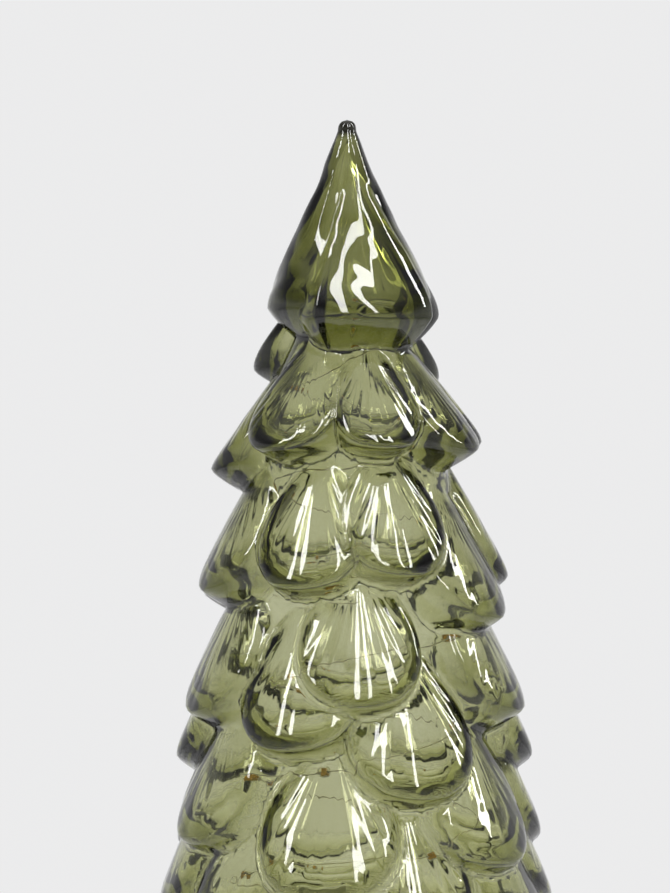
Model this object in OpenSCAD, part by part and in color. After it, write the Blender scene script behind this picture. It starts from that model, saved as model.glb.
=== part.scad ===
// Green blown-glass tree with a string of bead lights inside and a battery base in its foot.
// Millimetres, +Z up, origin on the table under the tree's axis. The tree's front faces -Y.

/* [Glass tree] */
// Height from the table to the glass tip
tree_h = 260; // [245:1:285]
// Reach of the branch rims from the axis, taken down to the table
skirt_r = 58; // [57:0.5:62]
// How fast that reach closes in towards the tip, as a power of the height below it
skirt_bend = 0.4; // [0.36:0.01:0.5]
// Radius that the pointed cap gains for each millimetre below the tip
cap_flare = 0.46; // [0.43:0.01:0.49]
// How far a branch rim stands out from the trunk
rim_reach = 13; // [11:0.5:14]
// Half width of a branch fan, in degrees round the tree
fan_half_turn = 25; // [22:0.5:27]
// Length of a branch fan for each millimetre of its rim's radius
fan_stretch = 0.82; // [0.78:0.01:0.9]
// Outer radius of the plain glass foot
foot_r = 45; // [44.5:0.5:46]
// Least thickness of the glass
glass_wall = 2.2; // [1.8:0.1:2.5]
// Radius of the sealed tip
tip_r = 2.7; // [2.2:0.1:3.2]
// Height of solid glass under the tip
tip_solid = 5.5; // [5:0.5:9]

/* [Light string] */
// Radius of the light wire
wire_r = 0.3; // [0.25:0.05:0.4]
// Turns of the light wire inside the tree
coil_turns = 7; // [5:1:9]
// Room between the coiled wire and the glass
coil_gap = 4; // [3:0.5:6]
// Height of the coil's first turn above the base cover
coil_lift = 8; // [7:0.5:12]
// Height of the coil's end below the glass tip
coil_top_drop = 52; // [48:1:70]
// Bead lights on the wire
bead_count = 20; // [12:1:24]
// Radius of a bead light
bead_r = 1.5; // [1.2:0.1:1.8]

/* [Base] */
// Height of the base floor above the table
floor_lift = 2; // [1.6:0.1:3]
// Thickness of the base floor
floor_t = 2.5; // [2.2:0.1:3.5]
// Thickness of the base's upright walls
base_wall = 1.6; // [1.4:0.1:2]
// Room between the base plug and the glass foot
plug_gap = 1; // [0.8:0.1:1.4]
// Thickness of the silicone ring under the glass
seal_t = 0.6; // [0.4:0.1:1]
// Thickness of the base cover
cover_t = 2; // [1.6:0.1:2.6]
// Room for the leads between the battery bay and the cover
lead_room = 2.6; // [2.4:0.1:4]
// Diameter of a rubber foot
rubber_d = 9; // [8:0.5:9.5]
// Depth of the pocket that a rubber foot is glued into
rubber_seat = 0.8; // [0.5:0.1:1.2]
// Distance of the rubber feet's middles from the edge of the base
rubber_inset = 6.5; // [6:0.1:7]
// Distance of the cover screws' middles from the edge of the base plug
screw_inset = 5.3; // [4.8:0.1:5.8]
// Radius of a cover screw's shank
screw_r = 1.2; // [1:0.1:1.4]
// Length of a cover screw's shank
screw_l = 10; // [8:0.5:11]

/* [Battery bay] */
// Diameter of an AAA cell
cell_d = 10.5; // [10:0.1:10.5]
// Length of an AAA cell with its button
cell_l = 44.5; // [43.5:0.1:44.5]
// Room round each cell
cell_gap = 0.4; // [0.3:0.1:0.6]
// Length of a squeezed contact spring
spring_l = 4.4; // [4:0.1:6]
// Turns of a contact spring
spring_turns = 3; // [2:1:3]
// Radius of the spring wire
spring_wire_r = 0.3; // [0.25:0.05:0.35]
// Thickness of the contact sheet
contact_t = 0.4; // [0.3:0.1:0.5]
// Thickness of the battery door
door_t = 2; // [1.6:0.1:2.2]
// Room round the battery door
door_gap = 0.3; // [0.3:0.05:0.5]
// Radius of the door's hinge barrel
barrel_r = 1.5; // [1.4:0.05:1.7]
// Radius of the door's hinge pins
pin_r = 1; // [0.8:0.05:1.1]
// Radial running room of the hinge pins
pin_play = 0.05; // [0.03:0.01:0.1]

/* [Electronics] */
// Length of the circuit board
board_l = 30; // [28:0.5:32]
// Room between the circuit board's outer corners and the base plug's wall
board_edge_gap = 2.1; // [1.5:0.1:3]
// Thickness of the circuit board
board_t = 1.2; // [1:0.1:1.6]
// Height of the slide switch's case
case_h = 4; // [3.6:0.1:4.6]
// Travel of the switch knob to each side of its middle position
knob_travel = 2.5; // [1.5:0.1:3]
// Width of the knob's finger end
knob_w = 3; // [2.4:0.1:3.4]
// Radius of a battery lead with its sleeve
lead_r = 0.6; // [0.5:0.05:0.7]

/* [Hidden] */
$fn = 48;

// Heights of the stacked base
floor_top = floor_lift + floor_t;
glass_bottom = floor_top + seal_t;
cell_z = floor_top + cell_gap + cell_d / 2;
bay_roof = cell_z + cell_d / 2 + cell_gap;
bay_top = bay_roof + base_wall;
plug_top = bay_top + lead_room;
cover_top = plug_top + cover_t;
plug_r = foot_r - glass_wall - plug_gap;
screw_ring_r = plug_r - screw_inset;
rubber_ring_r = foot_r - rubber_inset;

// Battery bay: three cells side by side, lying along X
cell_pitch = cell_d + cell_gap;
bay_half_w = (3 * cell_d + 4 * cell_gap) / 2;
bay_half_l = (cell_l + spring_l) / 2 + contact_t;
hinge_x = -(bay_half_l + base_wall + cell_gap + barrel_r);
hinge_z = floor_lift + barrel_r;
tongue_t = 1.7;
tongue_x = bay_half_l + base_wall + door_gap;
door_end_x = tongue_x + tongue_t;
well_min_x = hinge_x - barrel_r - cell_gap;
well_max_x = door_end_x + 1.5 * door_gap;
pin_l = base_wall - door_gap / 2;
latch_h = 3;
latch_l = 8;
pocket_top = floor_top + latch_h + 1;

// Circuit board, behind the bay
board_room = 2;
board_near_y = bay_half_w + base_wall + board_room;
board_far_y = sqrt(pow(plug_r - base_wall, 2) - pow(board_l / 2, 2)) - board_edge_gap;
board_w = board_far_y - board_near_y;
board_y = board_near_y + board_w / 2;
case_room = 0.6;
board_z = floor_top + case_room + case_h;
board_top = board_z + board_t;
post_r = 2.2;
post_edge = 0.3;
post_x = board_l / 2 - post_r - post_edge;
case_l = 12;
case_w = 5;
stem_w = 2;
stem_room = 0.3;
knob_bottom = floor_lift / 2;
slot_w = knob_w + 2 * stem_room;

// Cover screws and rubber feet, at angles that miss the bay and the board
screw_angles = [50, 130, 230, 310];
rubber_angles = [42, 138, 222, 318];
boss_wall = 1.9;
boss_r = screw_r + boss_wall;
bore_play = 0.05;
head_r = 2 * screw_r;
head_h = 1.4;

// Light string
pad = [board_l / 3, board_y + 2];
grommet_r = 2.6;
grommet_lip = 0.9;
grommet_lip_t = 0.8;
wire_bend_r = 4;
coil_sides = 6;
coil_rings = 24;
coil_z = cover_top + coil_lift;
coil_end_z = tree_h - coil_top_drop;
pad_turn = atan2(pad[1], pad[0]);
coil_start_r = norm([norm(pad), wire_bend_r]);
coil_start_turn = pad_turn + atan(wire_bend_r / norm(pad));
coil_sway = 1.2;

// Lobes of the pointed cap: turn from the front towards the right, rim height in percent of
// the tree height, and half width in degrees
CAP_LOBES = [
    [20, 80, 40], [-42, 81.2, 30], [-84, 83.2, 34], [94, 82, 34],
    [142, 80.2, 36], [-168, 80.6, 36], [-124, 82.6, 30]];
cap_rim = 0.806;
// Branch fans in rows from the cap down: turn, rim height, and width where it isn't the usual one
FANS = [
    [-130, 75], [142, 73.5],
    [-35, 67.3, 1.25], [15, 67.3], [62, 67, 1.1], [-96, 65.2], [110, 67.5], [158, 66.2], [-150, 67.2],
    [-70, 53.5], [-20, 53.7], [20, 54.9], [60, 50.4, 1.1], [104, 54], [150, 53], [-160, 54.5], [-116, 52.6],
    [-68, 41.5], [2, 42.1], [70, 41.2], [118, 42], [166, 41], [-146, 42.5],
    [-100, 36.5], [-22, 38.1], [22, 33.3], [104, 36], [150, 33.5], [-170, 37.5], [-132, 34],
    [-62, 29], [-10, 23.4], [51, 26.5], [106, 28], [146, 25], [-168, 24], [-118, 27],
    [-86, 22.5], [-40, 18.9], [18, 18.6], [64, 18.5], [98, 22], [140, 19], [-176, 18.6], [-132, 19.2],
    [-64, 13], [-12, 13.2], [40, 12.9], [88, 13], [136, 13], [-176, 13.2], [-124, 12.9],
    [-90, 7.4], [-38, 7.4], [12, 7.4], [60, 7.4], [110, 7.4], [160, 7.4], [-150, 7.4]];
// Edges of the fans and of the lobes: flare, roundness, softness, growth, crown, slope,
// and width of the root as a share of the rim's
FAN_EDGE = [1.05, 0.8, 2, 0.6, 1.2, 1.9, 0.5];
LOBE_EDGE = [1, 0.45, 5, 1.5, 0.5, 1.3, 0.8];
inner_soft = 14;
root_sink = 0.3;
lobe_root = 0.5;
foot_rise = 1.5;
foot_top = cover_top + foot_rise;
socket_top = cover_top + foot_rise / 2;
least_bore = 0.4;
glass_sides = 72;
glass_rings = 52;
foot_rings = 5;
inner_sides = glass_sides / 2;
inner_rings = 22;

// Reach of the rims and radius of the trunk at a height
function reach_r(z) = min(
    tip_r + cap_flare * (tree_h - tip_r - z), skirt_r * pow(max(0, (tree_h - z) / tree_h), skirt_bend));
function cap_share(z) = min(1, pow((tree_h - z) / (tree_h * (1 - cap_rim)), 2));
function trunk_r(z) =
    z > tree_h - tip_r ? sqrt(max(0, tip_r * tip_r - pow(z - tree_h + tip_r, 2)))
        : z < foot_top ? foot_r
        : max(min(foot_r, reach_r(z) - rim_reach * cap_share(z)), tip_r);

// A fan: turn, rim height, rim radius, half width, length, root radius and edge
function branch_fan(p) = let (
        z = tree_h * p[1] / 100,
        r = reach_r(z),
        l = fan_stretch * r,
        half_turn = fan_half_turn * (len(p) > 2 ? p[2] : 1))
    [p[0] - 90, z, r, r * half_turn * PI / 180, l, trunk_r(z + l) - root_sink, FAN_EDGE];
function cap_lobe(p) = let (z = tree_h * p[1] / 100, r = reach_r(z))
    [p[0] - 90, z, r, r * p[2] * PI / 180, tree_h - z - tip_r, tip_r - lobe_root, LOBE_EDGE];
function all_fans() = concat(
    [for (p = CAP_LOBES) cap_lobe(p)],
    [for (p = FANS) branch_fan(p)]);

// Distance from a fan's outline, which is a round rim that narrows to a small round root,
// or a plain round where the fan is too short to narrow
function outline_gap(u, v, rim, root, h) = let (
        lean = min(1, (rim - root) / h),
        rise = sqrt(1 - lean * lean),
        side = rise * v - lean * abs(u))
    side <= 0 ? norm([u, v]) - rim
        : side > rise * h ? norm([u, v - h]) - root : rise * abs(u) + lean * v - rim;
function wrapped(a) = a - 360 * floor((a + 180) / 360);
// Radius of a fan's face, which falls off beyond its outline; extra_soft rounds that edge more
function fan_r(f, turn, z, extra_soft) = let (
        edge = f[6],
        u = f[2] * wrapped(turn - f[0]) * PI / 180,
        v = z - f[1],
        stretch = edge[1],
        soft = edge[2] + extra_soft,
        root = edge[6] * f[3],
        d = stretch * outline_gap(
            u, v / stretch - f[3], f[3], root, f[4] / stretch - f[3] - root) - edge[3],
        share = min(1, max(0, 1 - v / f[4])))
    f[5] + (f[2] - f[5]) * pow(share, edge[0]) - edge[4] * pow(u / f[3], 2)
        - edge[5] * (d + sqrt(d * d + soft * soft)) / 2;
function near_fans(fans, z) = [for (f = fans) if (z > f[1] - 2 * rim_reach && z < f[1] + f[4]) f];
function glass_r(near, turn, z, extra_soft) =
    max(concat([trunk_r(z)], [for (f = near) fan_r(f, turn, z, extra_soft)]));
function outer_ring(fans, z) = let (near = near_fans(fans, z))
    [for (i = [0 : glass_sides - 1])
        let (turn = 360 * i / glass_sides, r = glass_r(near, turn, z, 0))
        [r * cos(turn), r * sin(turn), z]];
// The inside follows the fans more softly, and is a plain socket round the base
function inner_ring(fans, z) = let (near = z < foot_top ? [] : near_fans(fans, z))
    [for (i = [0 : inner_sides - 1]) let (
            turn = 360 * i / inner_sides,
            r = max(least_bore, glass_r(near, turn, z, inner_soft) - glass_wall))
        [r * cos(turn), r * sin(turn), z]];

// Triangles between two rings of the same count, and from a ring to a single point
function band(a, b, sides) = [for (i = [0 : sides - 1]) let (j = (i + 1) % sides)
    each [[a + i, b + i, b + j], [a + i, b + j, a + j]]];
function cone(a, point, sides) = [for (i = [0 : sides - 1]) [a + i, point, a + (i + 1) % sides]];
function turned(faces) = [for (f = faces) [f[0], f[2], f[1]]];

function spaced(from, to, count) = [for (i = [0 : count - 1]) from + (to - from) * i / (count - 1)];

module glass_tree() {
    fans = all_fans();
    heights = concat(
        spaced(glass_bottom, socket_top, foot_rings),
        spaced(foot_top, tree_h - tip_r, glass_rings - foot_rings),
        [for (a = [30, 60]) tree_h - tip_r * (1 - sin(a))]);
    inner_heights = concat(
        [glass_bottom, socket_top],
        spaced(foot_top, tree_h - tip_solid, inner_rings - 2));
    outside = [for (z = heights) each outer_ring(fans, z)];
    inside = [for (z = inner_heights) each inner_ring(fans, z)];
    tip = len(outside);
    first = tip + 1;
    inner_tip = first + len(inside);
    last_out = glass_sides * (len(heights) - 1);
    last_in = first + inner_sides * (inner_rings - 1);
    outer_faces = concat(
        [for (k = [0 : len(heights) - 2])
            each band(k * glass_sides, (k + 1) * glass_sides, glass_sides)],
        cone(last_out, tip, glass_sides));
    inner_faces = concat(
        [for (k = [0 : inner_rings - 2])
            each band(first + k * inner_sides, first + (k + 1) * inner_sides, inner_sides)],
        cone(last_in, inner_tip, inner_sides));
    rim_faces = [for (i = [0 : inner_sides - 1]) let (
            a = 2 * i,
            b = 2 * i + 1,
            c = (2 * i + 2) % glass_sides,
            p = first + i,
            q = first + (i + 1) % inner_sides)
        each [[a, b, p], [b, q, p], [b, c, q]]];
    color([0.42, 0.47, 0.22, 0.5])
        polyhedron(
            concat(outside, [[0, 0, tree_h]], inside, [[0, 0, tree_h - tip_solid + 1]]),
            concat(outer_faces, turned(inner_faces), rim_faces),
            convexity = 12);
}

module seal_ring() {
    inset = 0.2;
    color("whitesmoke")
        translate([0, 0, floor_top])
        difference() {
            cylinder(h = seal_t, r = foot_r - inset, $fn = 96);
            translate([0, 0, -1]) cylinder(h = seal_t + 2, r = foot_r - glass_wall + inset, $fn = 96);
        }
}

// Box between two corners
module block(low, high) {
    translate(low) cube(high - low);
}

module at_angles(angles, radius) {
    for (a = angles)
        translate([radius * cos(a), radius * sin(a), 0]) children();
}

module board_posts() {
    for (x = [-post_x, post_x])
        translate([x, board_y, 0]) children();
}

// Slots in the bay roof for the upright tabs of the two end contacts
module tab_slots() {
    slot_t = contact_t + 2 * bore_play;
    for (side = [1, -1])
        translate([side * (bay_half_l - contact_t / 2), -side * cell_pitch, bay_roof - 1])
            translate([-slot_t / 2, -tab_w / 2 - bore_play, 0])
            cube([slot_t, tab_w + 2 * bore_play, base_wall + 2]);
}

module base_housing() {
    well_low = [well_min_x - base_wall, -bay_half_w - base_wall, floor_lift];
    well_high = [well_max_x + base_wall, bay_half_w + base_wall, bay_top];
    finger_r = 6;
    color("white")
        difference() {
            union() {
                translate([0, 0, floor_lift]) cylinder(h = floor_t, r = foot_r, $fn = 96);
                difference() {
                    translate([0, 0, floor_lift])
                        cylinder(h = plug_top - floor_lift, r = plug_r, $fn = 96);
                    translate([0, 0, floor_top])
                        cylinder(h = plug_top, r = plug_r - base_wall, $fn = 96);
                }
                block(well_low, well_high);
                at_angles(screw_angles, screw_ring_r)
                    translate([0, 0, floor_lift]) cylinder(h = plug_top - floor_lift, r = boss_r);
                board_posts()
                    translate([0, 0, floor_lift]) cylinder(h = board_z - floor_lift, r = post_r);
            }
            block([-bay_half_l, -bay_half_w, 0], [bay_half_l, bay_half_w, bay_roof]);
            block([well_min_x, -bay_half_w, 0], [-bay_half_l - base_wall, bay_half_w, pocket_top]);
            block([bay_half_l + base_wall, -bay_half_w, 0], [well_max_x, bay_half_w, pocket_top]);
            block(
                [well_min_x, -bay_half_w, 0],
                [well_max_x, bay_half_w, floor_lift + door_t + door_gap]);
            translate([hinge_x, 0, hinge_z])
                rotate([90, 0, 0])
                cylinder(h = 2 * (bay_half_w + base_wall) + 1, r = pin_r + pin_play, center = true);
            translate([well_max_x + finger_r / 2, 0, 0])
                cylinder(h = floor_lift + floor_t / 2, r = finger_r);
            at_angles(screw_angles, screw_ring_r)
                translate([0, 0, plug_top - screw_l - 1])
                cylinder(h = screw_l + 2, r = screw_r + bore_play);
            at_angles(rubber_angles, rubber_ring_r)
                cylinder(h = floor_lift + rubber_seat, r = rubber_d / 2 + bore_play);
            board_posts()
                translate([0, 0, floor_top]) cylinder(h = board_z, r = board_screw_r + bore_play);
            block(
                [-slot_w / 2 - knob_travel, board_y - slot_w / 2, 0],
                [slot_w / 2 + knob_travel, board_y + slot_w / 2, floor_top + 1]);
            tab_slots();
        }
}

module base_cover() {
    edge_inset = 0.3;
    lip_h = 1.5;
    lip_r = plug_r - base_wall - door_gap;
    color("white")
        difference() {
            union() {
                translate([0, 0, plug_top]) cylinder(h = cover_t, r = plug_r - edge_inset, $fn = 96);
                translate([0, 0, plug_top - lip_h])
                    difference() {
                        cylinder(h = lip_h + 0.1, r = lip_r, $fn = 96);
                        translate([0, 0, -1]) cylinder(h = lip_h + 2, r = lip_r - base_wall, $fn = 96);
                        at_angles(screw_angles, screw_ring_r)
                            translate([0, 0, -1]) cylinder(h = lip_h + 1, r = boss_r + 2 * door_gap);
                    }
            }
            at_angles(screw_angles, screw_ring_r)
                translate([0, 0, plug_top - 1]) cylinder(h = cover_t + 2, r = screw_r + 4 * bore_play);
            translate([pad[0], pad[1], plug_top - 1]) cylinder(h = cover_t + 2, r = grommet_r + bore_play);
        }
}

module cross_slot(r, depth) {
    for (a = [0, 90])
        rotate(a)
            translate([-r, -r / 6, -depth])
            cube([2 * r, r / 3, depth + 1]);
}

module cover_screws() {
    color("silver")
        at_angles(screw_angles, screw_ring_r)
        difference() {
            union() {
                translate([0, 0, cover_top]) cylinder(h = head_h, r1 = head_r, r2 = 0.8 * head_r);
                translate([0, 0, cover_top - screw_l]) cylinder(h = screw_l + 0.1, r = screw_r);
            }
            translate([0, 0, cover_top + head_h]) cross_slot(0.6 * head_r, 0.6 * head_h);
        }
}

module rubber_feet() {
    chamfer = 0.8;
    top = floor_lift + rubber_seat;
    color("dimgray")
        at_angles(rubber_angles, rubber_ring_r)
        rotate_extrude()
        polygon([
            [0, 0], [rubber_d / 2 - chamfer, 0], [rubber_d / 2, chamfer], [rubber_d / 2, top], [0, top]]);
}

// Hinged door: plate, hinge barrel with two pins, and a snap tongue at the free end
module battery_door() {
    half_w = bay_half_w - door_gap;
    grip_count = 4;
    grip_pitch = 2;
    grip_w = 0.8;
    grip_x = door_end_x - 6;
    color("whitesmoke")
        difference() {
            union() {
                block([hinge_x, -half_w, floor_lift], [door_end_x, half_w, floor_lift + door_t]);
                translate([hinge_x, 0, hinge_z])
                    rotate([90, 0, 0]) {
                        cylinder(h = 2 * half_w, r = barrel_r, center = true);
                        cylinder(h = 2 * (half_w + pin_l), r = pin_r, center = true);
                    }
                block(
                    [tongue_x, -latch_l / 2, floor_lift],
                    [door_end_x, latch_l / 2, floor_top + latch_h]);
            }
            for (i = [0 : grip_count - 1])
                translate([grip_x - grip_pitch * i, 0, floor_lift])
                    cube([grip_w, 2 * latch_l, 1], center = true);
        }
}

// Cell with its button towards +X, its button end at the origin
module cell() {
    button_h = 1;
    button_r = 1.9;
    rotate([0, -90, 0]) {
        cylinder(h = button_h + 0.1, r = button_r);
        translate([0, 0, button_h]) cylinder(h = cell_l - button_h, r = cell_d / 2);
    }
}

// Neighbouring cells lie head to tail
module cell_in_row(row) {
    way = row == 0 ? -1 : 1;
    color("slategray")
        translate([way * (bay_half_l - contact_t), row * cell_pitch, cell_z])
        rotate(way > 0 ? 0 : 180)
        cell();
}
module battery_front() { cell_in_row(-1); }
module battery_middle() { cell_in_row(0); }
module battery_rear() { cell_in_row(1); }

// Smooth tube along a list of points, with its rings turned so that they never twist
function unit(v) = v / norm(v);
function tangents(path) = let (n = len(path)) [for (i = [0 : n - 1])
    unit(path[min(n - 1, i + 1)] - path[max(0, i - 1)])];
function across(n, t) = unit(n - (n * t) * t);
function normals(t) = [for (i = 0, n = across([0.31, 0.52, 0.79], t[0]); i < len(t);
    i = i + 1, n = across(n, t[min(i, len(t) - 1)])) n];
module tube(path, r, sides) {
    t = tangents(path);
    n = normals(t);
    points = [for (i = [0 : len(path) - 1]) let (b = cross(t[i], n[i]))
        for (k = [0 : sides - 1]) let (a = 360 * k / sides)
            path[i] + r * (cos(a) * n[i] + sin(a) * b)];
    count = len(points);
    last = count - sides;
    polyhedron(
        concat(points, [path[0], path[len(path) - 1]]),
        concat(
            turned(cone(0, count, sides)),
            [for (i = [0 : len(path) - 2]) each band(i * sides, (i + 1) * sides, sides)],
            cone(last, count + 1, sides)),
        convexity = 10);
}
// Least gap between turns: points at least half a turn apart along the tube
function least_gap(path, half, r) = min([for (i = [0 : len(path) - 1 - half])
    for (j = [i + half : len(path) - 1]) norm(path[i] - path[j])]) - 2 * r;

// Conical spring from the sheet contact at x = 0 to the cell at x = spring_l
spring_rings = 8;
spring_inset = 1.6;
spring_taper = 1;
spring_path = let (
        big = cell_d / 2 - spring_inset,
        small = big - spring_taper,
        d = 2 * spring_wire_r,
        count = spring_turns * spring_rings)
    concat(
        [[0, big, 0]],
        [for (i = [0 : count]) let (
                s = i / count,
                r = big + (small - big) * s,
                a = 360 * spring_turns * s)
            [d + (spring_l - 2 * d) * s, r * cos(a), r * sin(a)]],
        [[spring_l, small, 0]]);

module spring_at(side, row) {
    translate([side * (bay_half_l - contact_t), row * cell_pitch, cell_z])
        rotate(side > 0 ? 180 : 0)
        tube(spring_path, spring_wire_r, coil_sides);
}

module contact_springs() {
    echo(least_gap_in_spring = least_gap(spring_path, spring_rings, spring_wire_r));
    color("silver") {
        spring_at(-1, -1);
        spring_at(1, 0);
        spring_at(-1, 1);
    }
}

// Upright sheet contact at one end of the bay, over the rows from first to last
plate_h = 7;
plate_half_w = 4;
tab_w = 4;
tab_rise = 1.6;
module contact_sheet(side, first, last, tab) {
    x = side * (bay_half_l - contact_t / 2);
    color("gold")
        translate([x - contact_t / 2, 0, cell_z - plate_h / 2]) {
            translate([0, first * cell_pitch - plate_half_w, 0])
                cube([contact_t, (last - first) * cell_pitch + 2 * plate_half_w, plate_h]);
            if (tab)
                translate([0, first * cell_pitch - tab_w / 2, 0])
                    cube([contact_t, tab_w, bay_top + tab_rise - cell_z + plate_h / 2]);
        }
}
module contact_positive() { contact_sheet(1, -1, -1, true); }
module contact_negative() { contact_sheet(-1, 1, 1, true); }
module contact_link_left() { contact_sheet(-1, -1, 0, false); }
module contact_link_right() { contact_sheet(1, 0, 1, false); }

board_screw_r = 0.8;
module circuit_board() {
    color("seagreen")
        difference() {
            block(
                [-board_l / 2, board_y - board_w / 2, board_z],
                [board_l / 2, board_y + board_w / 2, board_top]);
            board_posts()
                translate([0, 0, board_z - 1])
                cylinder(h = board_t + 2, r = board_screw_r + 4 * bore_play);
        }
}

module board_screws() {
    board_head_h = 1;
    board_screw_l = 4;
    color("silver")
        board_posts()
        difference() {
            union() {
                translate([0, 0, board_top]) cylinder(h = board_head_h, r = 2 * board_screw_r);
                translate([0, 0, board_top - board_screw_l])
                    cylinder(h = board_screw_l + 0.1, r = board_screw_r);
            }
            translate([0, 0, board_top + board_head_h])
                cross_slot(1.2 * board_screw_r, board_head_h / 2);
        }
}

// Drop of black resin over the timer chip
module timer_chip() {
    drop_r = 3.2;
    drop_h = 1.6;
    ball_r = (drop_r * drop_r + drop_h * drop_h) / (2 * drop_h);
    color("black")
        translate([-3, board_y - 1, board_top])
        intersection() {
            translate([0, 0, drop_h - ball_r]) sphere(r = ball_r);
            cylinder(h = drop_h + 1, r = drop_r + 1);
        }
}

module timer_crystal() {
    crystal_r = 1;
    crystal_l = 6;
    color("silver")
        translate([1, board_y + board_w / 2 - 2, board_top + crystal_r])
        rotate([0, 90, 0])
        cylinder(h = crystal_l, r = crystal_r, center = true);
}

module resistors() {
    size = [1.2, 2, 0.6];
    color("black")
        for (x = [1.2, 3.4, 5.6])
        translate([x - size[0] / 2, board_y - 4, board_top])
        cube(size);
}

module switch_case() {
    pocket_l = stem_w + 2 * (knob_travel + stem_room);
    pocket_w = stem_w + 2 * stem_room;
    pocket_h = case_h / 2;
    color("silver")
        difference() {
            block(
                [-case_l / 2, board_y - case_w / 2, board_z - case_h],
                [case_l / 2, board_y + case_w / 2, board_z]);
            block(
                [-pocket_l / 2, board_y - pocket_w / 2, board_z - case_h - 1],
                [pocket_l / 2, board_y + pocket_w / 2, board_z - case_h + pocket_h]);
        }
}

module switch_knob() {
    finger_top = floor_top - 0.2;
    stem_top = board_z - case_h / 2 - stem_room;
    color("dimgray")
        difference() {
            union() {
                block(
                    [-knob_w / 2, board_y - knob_w / 2, knob_bottom],
                    [knob_w / 2, board_y + knob_w / 2, finger_top]);
                block(
                    [-stem_w / 2, board_y - stem_w / 2, knob_bottom],
                    [stem_w / 2, board_y + stem_w / 2, stem_top]);
            }
            for (x = [-1, 0, 1])
                translate([x * knob_w / 3.5, board_y, knob_bottom])
                    cube([0.3, knob_w + 1, 0.6], center = true);
        }
}

// Battery leads, from the tabs of the end contacts over the bay to the board
lead_z = bay_top + lead_r + 0.3;
lead_pad_y = board_y - board_w / 2 + 3;
function lead_route(side) = [
    [side * (bay_half_l - contact_t - 0.1), -side * cell_pitch, lead_z],
    [side * (bay_half_l - 3), -side * cell_pitch, lead_z],
    [side * 19, -side * 9.5, lead_z],
    [side * 16, -side * 6, lead_z],
    [side * 12, side > 0 ? 4 : 8, lead_z],
    [side * 10, side > 0 ? 10 : 12, lead_z],
    [side * 9, bay_half_w, lead_z],
    [side * 8.4, bay_half_w + base_wall + 0.6, lead_z - 0.3],
    [side * 8.1, lead_pad_y - 0.9, lead_z - 1.4],
    [side * 8, lead_pad_y, lead_z - 3.4],
    [side * 8, lead_pad_y, board_top]];
module lead_positive() { color("firebrick") tube(lead_route(1), lead_r, 8); }
module lead_negative() { color("black") tube(lead_route(-1), lead_r, 8); }

module wire_grommet() {
    color("dimgray")
        translate([pad[0], pad[1], plug_top])
        difference() {
            union() {
                translate([0, 0, -grommet_lip_t]) cylinder(h = grommet_lip_t, r = grommet_r + grommet_lip);
                cylinder(h = cover_t, r = grommet_r);
                translate([0, 0, cover_t]) cylinder(h = grommet_lip_t, r = grommet_r + grommet_lip);
            }
            translate([0, 0, -2 * grommet_lip_t])
                cylinder(h = cover_t + 4 * grommet_lip_t, r = wire_r + 2 * bore_play);
        }
}

// Light wire: straight up from the board, a bend, then a coil that narrows with the tree
function eased(s) = s * s * (3 - 2 * s);
function coil_point(s) = let (
        turn = 360 * coil_turns * s,
        a = coil_start_turn + turn,
        z = coil_z + (coil_end_z - coil_z) * s + coil_sway * sin(2.3 * turn) * min(1, 8 * s),
        room_r = trunk_r(z) - glass_wall - coil_gap + coil_sway * sin(1.7 * turn),
        r = coil_start_r + (room_r - coil_start_r) * eased(min(1, 3 * s)))
    [r * cos(a), r * sin(a), z];
coil_path = let (
        start = [pad[0], pad[1], coil_z - wire_bend_r],
        way = [-sin(pad_turn), cos(pad_turn), 0],
        count = coil_turns * coil_rings)
    concat(
        [[pad[0], pad[1], board_top], [pad[0], pad[1], (board_top + coil_z) / 2]],
        [for (t = [0 : 15 : 75]) start + wire_bend_r * ((1 - cos(t)) * way + [0, 0, sin(t)])],
        [for (i = [0 : count]) coil_point(i / count)]);

module led_wire() {
    echo(least_gap_in_coil = least_gap(coil_path, coil_rings / 2, wire_r));
    color("peru") tube(coil_path, wire_r, coil_sides);
}

// Beads at even lengths along the wire, counted from its top end
module led_beads() {
    first = len(coil_path) - coil_turns * coil_rings - 1;
    steps = [for (i = [first + 1 : len(coil_path) - 1]) norm(coil_path[i] - coil_path[i - 1])];
    sums = [for (i = 0, sum = 0; i <= len(steps);
        sum = sum + (i < len(steps) ? steps[i] : 0), i = i + 1) sum];
    total = sums[len(sums) - 1];
    color("khaki")
        for (k = [1 : bead_count]) {
            far = total * k / bead_count;
            i = min([for (j = [1 : len(sums) - 1]) if (sums[j] >= far - 0.001) j]);
            share = (far - sums[i - 1]) / (sums[i] - sums[i - 1]);
            from = coil_path[first + i - 1];
            translate(from + share * (coil_path[first + i] - from)) sphere(r = bead_r, $fn = 24);
        }
}

glass_tree();
seal_ring();
base_housing();
base_cover();
cover_screws();
rubber_feet();
battery_door();
battery_front();
battery_middle();
battery_rear();
contact_springs();
contact_positive();
contact_negative();
contact_link_left();
contact_link_right();
circuit_board();
board_screws();
timer_chip();
timer_crystal();
resistors();
switch_case();
switch_knob();
lead_positive();
lead_negative();
wire_grommet();
led_wire();
led_beads();
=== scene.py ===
import math

import bpy
from mathutils import Matrix, Vector


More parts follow.
